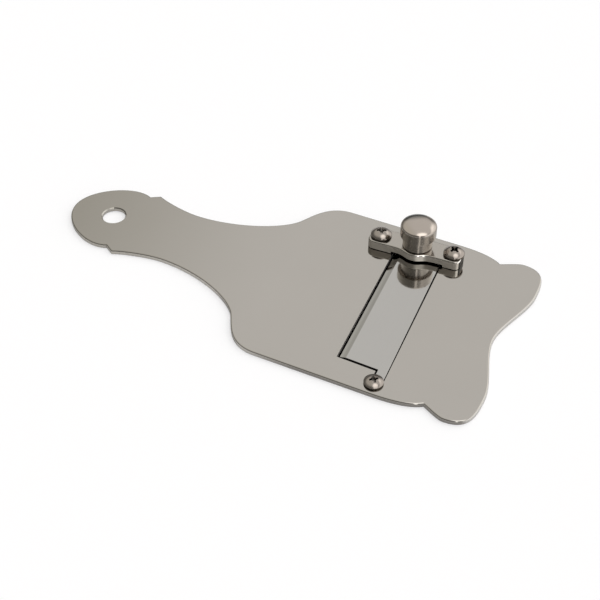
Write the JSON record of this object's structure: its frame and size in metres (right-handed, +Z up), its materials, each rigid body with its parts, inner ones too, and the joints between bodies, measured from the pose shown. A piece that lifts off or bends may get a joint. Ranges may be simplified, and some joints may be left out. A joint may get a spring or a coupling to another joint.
{
  "type": "truffle slicer",
  "caption": "Flat steel slicer plate with a handle end, ears and a slanted window; a knob under a bridge lifts the blade's far end to set the slice.",
  "frame": {"origin": "middle of the plate's underside, which is the lowest face", "axes": "+X along the plate towards its eared front, -X to the hanging hole, +Y to the side with the knob, +Z up out of the slicing face"},
  "size_m": [0.2, 0.0942, 0.0185],
  "materials": {
    "plate_steel": "fine polished to satin",
    "blade_steel": "fine ground",
    "bright_steel": "polished",
    "screw_steel": "polished"
  },
  "bodies": {
    "body": {"slicer_plate": "plate_steel", "bridge": "bright_steel", "bridge_screw_left": "screw_steel", "bridge_screw_right": "screw_steel", "pivot_screw": "screw_steel", "pivot_nut": "screw_steel"},
    "knob": {"adjusting_knob": "bright_steel", "knob_stud": "screw_steel", "stud_retaining_ring": "screw_steel"},
    "blade": {"blade": "blade_steel", "blade_bush": "screw_steel"}
  },
  "joints": [
    {"name": "knob_turn", "type": "hinge", "parent": "body", "child": "knob", "pos_m": [0.0467, 0.03445, 0], "axis": [0, 0, -1], "range_deg": [-200, 330]},
    {"name": "blade_tilt", "type": "hinge", "parent": "body", "child": "blade", "pos_m": [0.05989, -0.04165, 0.0015], "axis": [0.9982, 0.0593, 0], "range_deg": [-0.34, 0.56]}
  ],
  "couplings": [
    {"joint": "blade_tilt", "follows": "knob_turn", "ratio": 0.001659}
  ]
}
